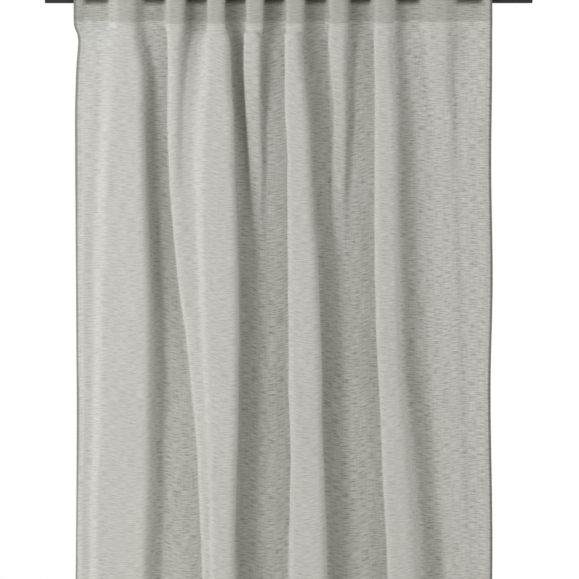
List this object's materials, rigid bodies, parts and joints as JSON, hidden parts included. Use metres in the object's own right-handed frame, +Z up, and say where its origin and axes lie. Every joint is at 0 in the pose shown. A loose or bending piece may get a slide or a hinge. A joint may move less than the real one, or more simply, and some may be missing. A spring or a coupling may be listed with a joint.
{
  "type": "curtain panel",
  "caption": "Semi-sheer linen curtain panel in soft upright folds, hung by hidden back tabs on a straight round rod, along which it slides and gathers.",
  "frame": {"origin": "middle of the rod, on its axis", "axes": "+X along the rod, to the right as seen from the room; +Y away from the room, towards the window; +Z up"},
  "size_m": [1.2, 0.079, 2.5],
  "materials": {
    "linen": "semi-sheer plain weave with slubs, light greige",
    "sewing_thread": "tone-on-tone lockstitch",
    "satin_label": "white satin ribbon, blank",
    "rod_steel": "matt black powder coat",
    "cap_plastic": "moulded, fine matt"
  },
  "bodies": {
    "rod": {"rod_tube": "rod_steel", "rod_end_cap_left": "cap_plastic", "rod_end_cap_right": "cap_plastic"},
    "panel": {"curtain_cloth": "linen", "header_facing": "linen", "bottom_hem": "linen", "side_hem_left": "linen", "side_hem_right": "linen", "header_seam_upper": "sewing_thread", "header_seam_lower": "sewing_thread", "bottom_seam": "sewing_thread", "side_seam_left": "sewing_thread", "side_seam_right": "sewing_thread", "care_label": "satin_label", "back_tab_1": "linen"},
    "tab_2": {"back_tab_2": "linen"},
    "tab_3": {"back_tab_3": "linen"},
    "tab_4": {"back_tab_4": "linen"},
    "tab_5": {"back_tab_5": "linen"},
    "tab_6": {"back_tab_6": "linen"},
    "tab_7": {"back_tab_7": "linen"},
    "tab_8": {"back_tab_8": "linen"},
    "tab_9": {"back_tab_9": "linen"}
  },
  "joints": [
    {"name": "panel_along_rod", "type": "slide", "parent": "rod", "child": "panel", "axis": [1, 0, 0], "range_m": [-0.07, 0.095]},
    {"name": "gather_to_left", "type": "slide", "parent": "panel", "child": "tab_9", "axis": [1, 0, 0], "range_m": [-0.45, 0]},
    {"name": "tab_2_along_rod", "type": "slide", "parent": "panel", "child": "tab_2", "axis": [1, 0, 0], "range_m": [-0.0704, 0]},
    {"name": "tab_3_along_rod", "type": "slide", "parent": "panel", "child": "tab_3", "axis": [1, 0, 0], "range_m": [-0.121, 0]},
    {"name": "tab_4_along_rod", "type": "slide", "parent": "panel", "child": "tab_4", "axis": [1, 0, 0], "range_m": [-0.1682, 0]},
    {"name": "tab_5_along_rod", "type": "slide", "parent": "panel", "child": "tab_5", "axis": [1, 0, 0], "range_m": [-0.2143, 0]},
    {"name": "tab_6_along_rod", "type": "slide", "parent": "panel", "child": "tab_6", "axis": [1, 0, 0], "range_m": [-0.2649, 0]},
    {"name": "tab_7_along_rod", "type": "slide", "parent": "panel", "child": "tab_7", "axis": [1, 0, 0], "range_m": [-0.3185, 0]},
    {"name": "tab_8_along_rod", "type": "slide", "parent": "panel", "child": "tab_8", "axis": [1, 0, 0], "range_m": [-0.375, 0]}
  ],
  "couplings": [
    {"joint": "tab_2_along_rod", "follows": "gather_to_left", "ratio": 0.1561},
    {"joint": "tab_3_along_rod", "follows": "gather_to_left", "ratio": 0.2686},
    {"joint": "tab_4_along_rod", "follows": "gather_to_left", "ratio": 0.3734},
    {"joint": "tab_5_along_rod", "follows": "gather_to_left", "ratio": 0.476},
    {"joint": "tab_6_along_rod", "follows": "gather_to_left", "ratio": 0.5884},
    {"joint": "tab_7_along_rod", "follows": "gather_to_left", "ratio": 0.7074},
    {"joint": "tab_8_along_rod", "follows": "gather_to_left", "ratio": 0.833}
  ]
}
